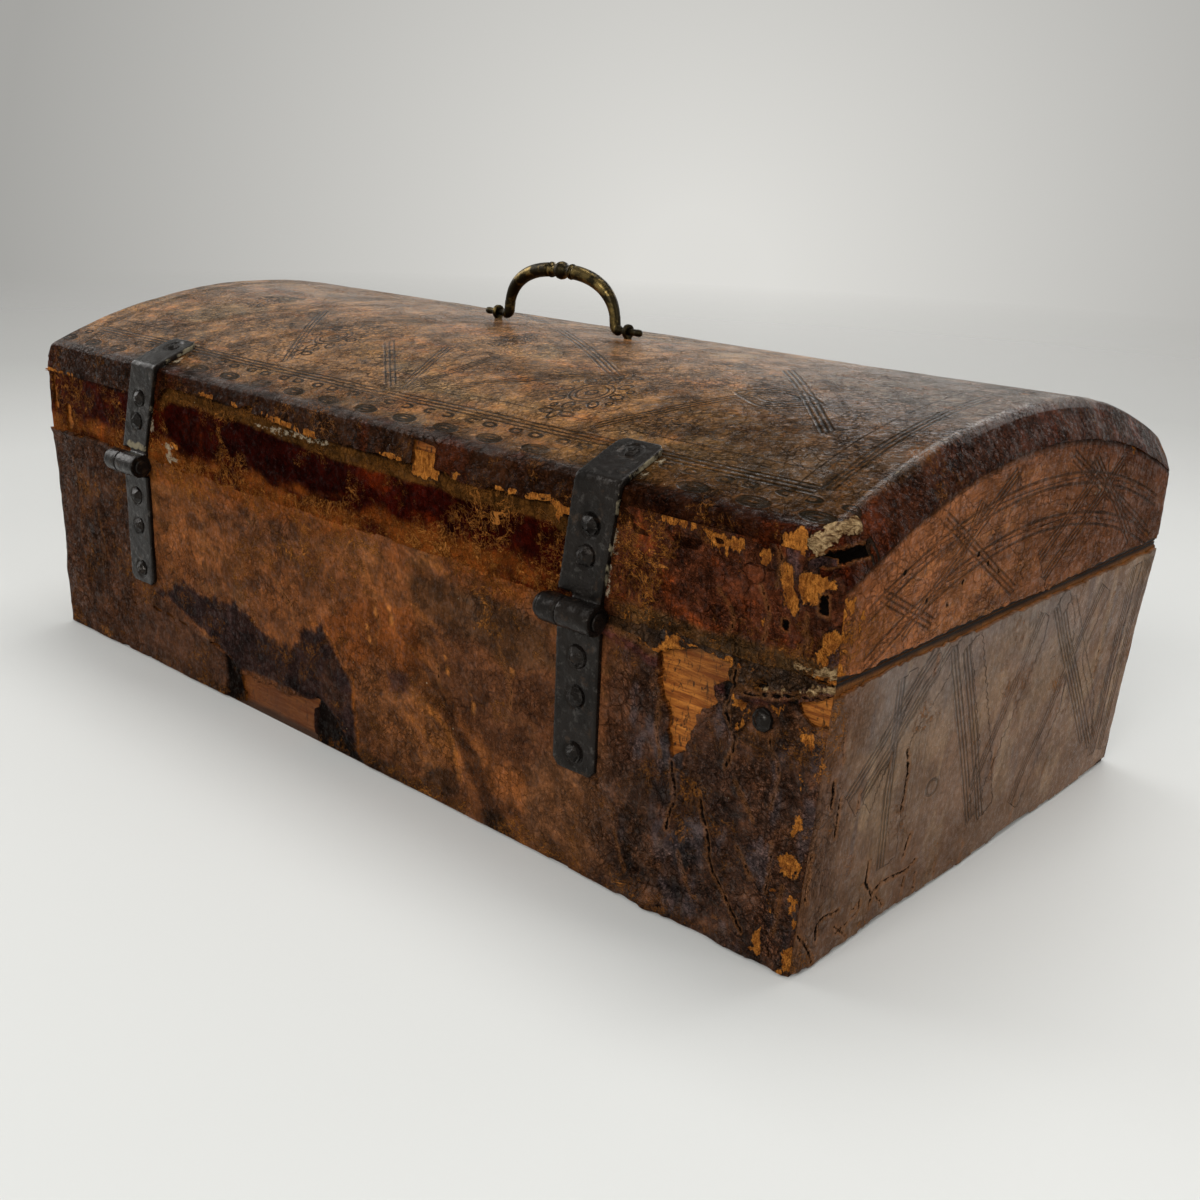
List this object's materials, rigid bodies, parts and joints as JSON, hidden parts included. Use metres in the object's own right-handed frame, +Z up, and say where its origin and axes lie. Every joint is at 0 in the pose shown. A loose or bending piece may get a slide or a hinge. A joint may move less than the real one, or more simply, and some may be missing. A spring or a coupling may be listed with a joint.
{
  "type": "leather-covered box",
  "caption": "Leather-covered wooden box with a domed lid on iron strap hinges, a brass bail handle on the crest and a lock in the front wall.",
  "frame": {"origin": "centre of the box's footprint, on the underside of the bottom board", "axes": "+X along the box towards its right end as one faces the lock, +Y towards the hinges, +Z up"},
  "size_m": [0.42, 0.2266, 0.1775],
  "materials": {
    "wood": "aged bare softwood",
    "leather": "worn, waxed, semi-gloss",
    "paper_lining": "yellowed, matt",
    "forged_iron": "black, hammered, semi-gloss",
    "brass": "dark patina, rubbed bright on high spots"
  },
  "bodies": {
    "base": {"base_back_board": "wood", "base_front_board": "wood", "base_leather_back": "leather", "base_leather_front": "leather", "base_leather_left_end": "leather", "base_leather_right_end": "leather", "base_left_end_board": "wood", "base_lining": "paper_lining", "base_right_end_board": "wood", "base_wall_brads": "forged_iron", "bottom_board": "wood", "bottom_brads": "forged_iron", "corner_nail": "forged_iron", "hinge_left_base_leaf": "forged_iron", "hinge_left_base_nails": "forged_iron", "hinge_left_pin": "forged_iron", "hinge_right_base_leaf": "forged_iron", "hinge_right_base_nails": "forged_iron", "hinge_right_pin": "forged_iron", "lock_bolt_keeper": "forged_iron", "lock_case": "forged_iron", "lock_case_nails": "forged_iron", "lock_key_post": "forged_iron", "lock_plate": "forged_iron", "lock_plate_nails": "forged_iron"},
    "lid": {"handle_left_split_pin": "brass", "handle_right_split_pin": "brass", "hinge_left_lid_leaf": "forged_iron", "hinge_left_lid_nails": "forged_iron", "hinge_right_lid_leaf": "forged_iron", "hinge_right_lid_nails": "forged_iron", "lid_back_rail": "wood", "lid_front_rail": "wood", "lid_leather_back": "leather", "lid_leather_front": "leather", "lid_leather_left_end": "leather", "lid_leather_right_end": "leather", "lid_leather_top": "leather", "lid_left_end_board": "wood", "lid_lining": "paper_lining", "lid_lock_staple": "forged_iron", "lid_right_end_board": "wood", "lid_staple_nails": "forged_iron", "lid_stave_1": "wood", "lid_stave_2": "wood", "lid_stave_3": "wood", "lid_stave_4": "wood", "lid_stave_5": "wood", "lid_stave_brads": "forged_iron", "lid_wall_brads": "forged_iron"},
    "handle": {"handle_bail": "brass"},
    "lock_bolt": {"lock_bolt": "forged_iron"}
  },
  "joints": [
    {"name": "lid_hinge", "type": "hinge", "parent": "base", "child": "lid", "pos_m": [0, 0.1121, 0.0885], "axis": [-1, 0, 0], "range_deg": [0, 170]},
    {"name": "handle_swing", "type": "hinge", "parent": "lid", "child": "handle", "pos_m": [-0.0042, 0, 0.1545], "axis": [1, 0, 0], "range_deg": [-88, 88]},
    {"name": "lock_bolt_slide", "type": "slide", "parent": "base", "child": "lock_bolt", "axis": [1, 0, 0], "range_m": [0, 0.006]}
  ]
}
